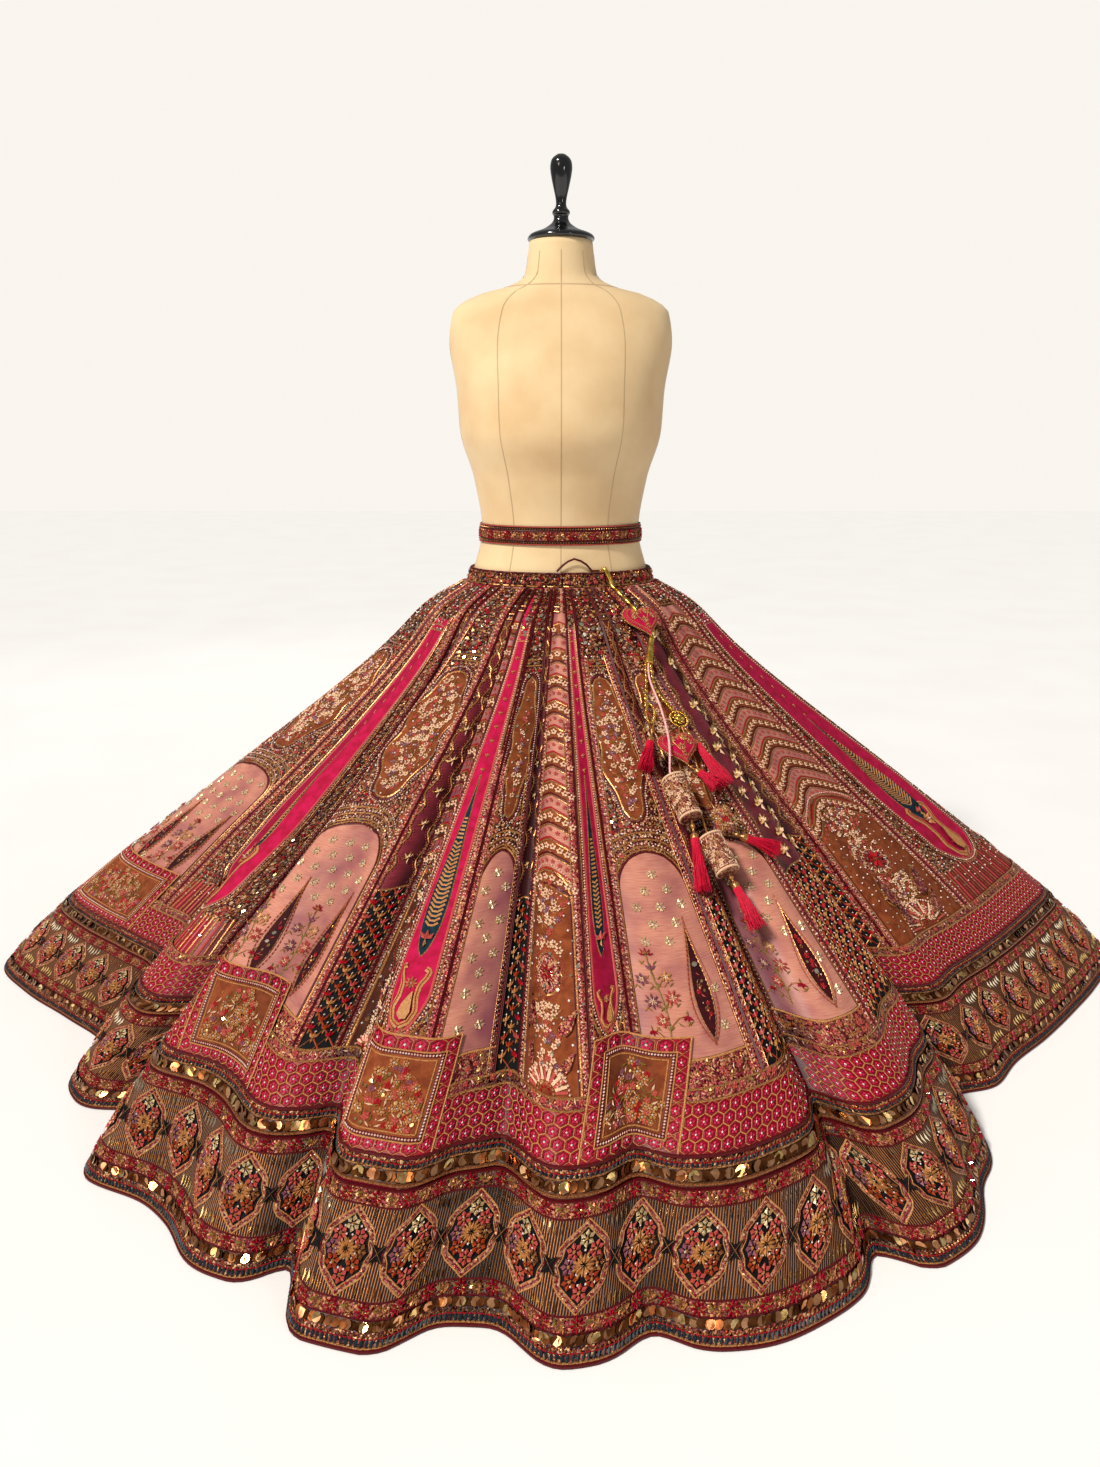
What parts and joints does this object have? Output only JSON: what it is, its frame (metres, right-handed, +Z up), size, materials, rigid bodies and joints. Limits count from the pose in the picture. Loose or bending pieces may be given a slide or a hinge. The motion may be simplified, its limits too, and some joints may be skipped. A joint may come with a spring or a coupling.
{
  "type": "lehenga skirt on a dress form",
  "caption": "Full-flared embroidered lehenga skirt with a deep hem border, matching belt and tasselled drawstring, standing on a limbless dress form with a round base.",
  "frame": {"origin": "on the floor under the dress form's axis, at the underside of the round base and in the plane of the hem", "axes": "+Z up along the form's axis, the front of the skirt faces -Y, +X to the right seen from the front"},
  "size_m": [1.886, 1.7609, 1.2528],
  "materials": {
    "black_lacquer": "gloss black lacquer",
    "cream_jersey": "plain stretched jersey",
    "fuchsia_velvet": "padded velvet with gold cord",
    "gold_embroidery": "dense gold thread and sequins",
    "gold_metal": "polished gold plate",
    "maroon_satin": "satin",
    "pink_silk": "silk with gold embroidery",
    "plum_silk": "silk with woven gold motifs",
    "rani_velvet": "velvet with zari embroidery",
    "red_silk_thread": "silk thread",
    "rust_velvet": "velvet with zari embroidery",
    "steel": "brushed"
  },
  "bodies": {
    "root": {"belt": "gold_embroidery", "bulb": "gold_embroidery", "drawstring": "maroon_satin", "dress_form": "cream_jersey", "drum_1": "gold_embroidery", "drum_2": "gold_embroidery", "finial": "black_lacquer", "heart_1": "fuchsia_velvet", "heart_2": "fuchsia_velvet", "hem_border_1": "gold_embroidery", "hem_border_2": "gold_embroidery", "hem_border_3": "gold_embroidery", "hem_border_4": "gold_embroidery", "hem_border_5": "gold_embroidery", "hem_border_6": "gold_embroidery", "kali_01_arch": "pink_silk", "kali_02_cypress": "rani_velvet", "kali_03_plum": "plum_silk", "kali_04_arch": "pink_silk", "kali_05_plum": "plum_silk", "kali_06_chevron": "rust_velvet", "kali_07_cypress": "rani_velvet", "kali_08_arch": "pink_silk", "kali_09_plum": "plum_silk", "kali_10_chevron": "rust_velvet", "kali_11_cypress": "rani_velvet", "kali_12_arch": "pink_silk", "kali_13_plum": "plum_silk", "kali_14_arch": "pink_silk", "kali_15_plum": "plum_silk", "kali_16_chevron": "rust_velvet", "kali_17_cypress": "rani_velvet", "kali_18_arch": "pink_silk", "kali_19_plum": "plum_silk", "kali_20_chevron": "rust_velvet", "kali_21_cypress": "rani_velvet", "kali_22_arch": "pink_silk", "kali_23_plum": "plum_silk", "kali_24_chevron": "rust_velvet", "kali_25_cypress": "rani_velvet", "kali_26_plum": "plum_silk", "latkan_bar": "gold_metal", "latkan_cap": "gold_metal", "ring_left": "gold_metal", "ring_right": "gold_metal", "stand_base": "black_lacquer", "stand_pole": "steel", "strand_a": "gold_metal", "strand_b": "pink_silk", "strand_c": "gold_metal", "strand_d": "gold_metal", "strand_e": "gold_metal", "tassel_a": "red_silk_thread", "tassel_b": "red_silk_thread", "tassel_c": "red_silk_thread", "tassel_d": "red_silk_thread", "tassel_e": "red_silk_thread", "tassel_f": "red_silk_thread", "waist_casing": "maroon_satin"}
  },
  "joints": []
}
